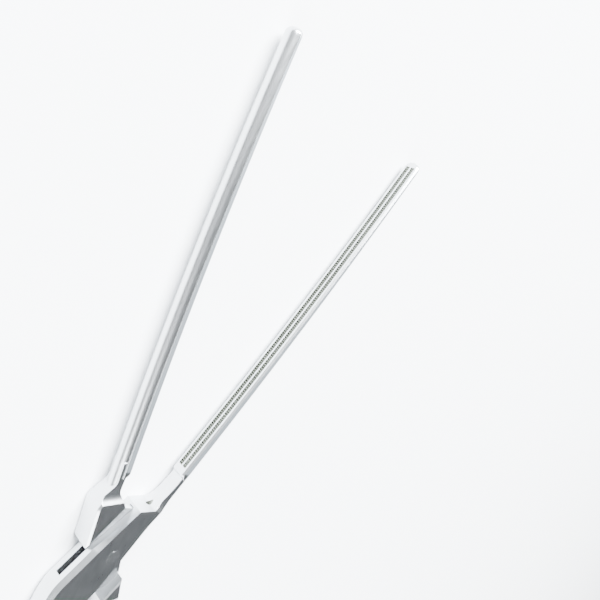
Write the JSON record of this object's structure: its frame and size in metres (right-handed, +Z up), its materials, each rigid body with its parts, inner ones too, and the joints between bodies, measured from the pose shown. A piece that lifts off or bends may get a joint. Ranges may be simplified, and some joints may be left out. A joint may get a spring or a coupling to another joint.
{
  "type": "intestinal clamp",
  "caption": "Straight intestinal clamp: two long slender bowed jaws with fine cross-cut toothed faces, a box lock, finger rings and a ratchet.",
  "frame": {"origin": "on the pivot axis, in the lower lock face that lies on the floor", "axes": "+Z up along the pivot axis, towards the engraved lock face; +Y along the middle line between the open jaws, towards the jaw tips; +X to the side of the slotted half's jaw"},
  "size_m": [0.1116, 0.2311, 0.0062],
  "materials": {
    "satin_steel": "satin"
  },
  "bodies": {
    "slotted": {"slotted_half": "satin_steel", "pivot_pin": "satin_steel"},
    "waisted": {"waisted_half": "satin_steel"}
  },
  "joints": [
    {"name": "box_lock", "type": "hinge", "parent": "slotted", "child": "waisted", "pos_m": [0, 0, 0.0031], "axis": [0, 0, 1], "range_deg": [-25.5, 24.5]}
  ]
}
